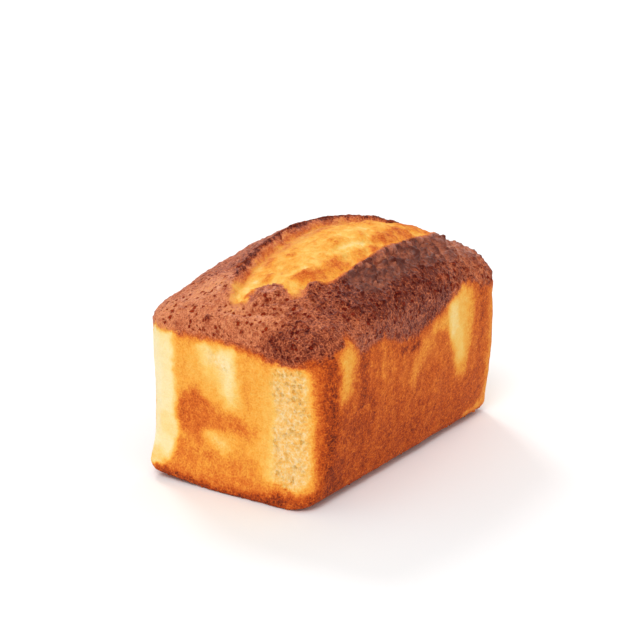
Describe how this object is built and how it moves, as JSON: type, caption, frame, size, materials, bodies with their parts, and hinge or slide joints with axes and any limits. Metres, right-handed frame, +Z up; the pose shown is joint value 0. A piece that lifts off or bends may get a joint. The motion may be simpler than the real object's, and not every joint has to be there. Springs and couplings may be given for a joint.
{
  "type": "small lemon pound cake loaf",
  "caption": "Small whole loaf of lemon pound cake with near upright walls, a rounded foot and a domed crust split open along its middle.",
  "frame": {"origin": "middle of the flat base that the loaf stands on", "axes": "+Z up, +X along the loaf's length, +Y across its width"},
  "size_m": [0.0998, 0.062, 0.064],
  "materials": {
    "cake": "Matte baked crust: dark brown on the dome, orange brown to pale gold on the walls, yellow crumb in the split."
  },
  "bodies": {
    "root": {"cake_loaf": "cake"}
  },
  "joints": []
}
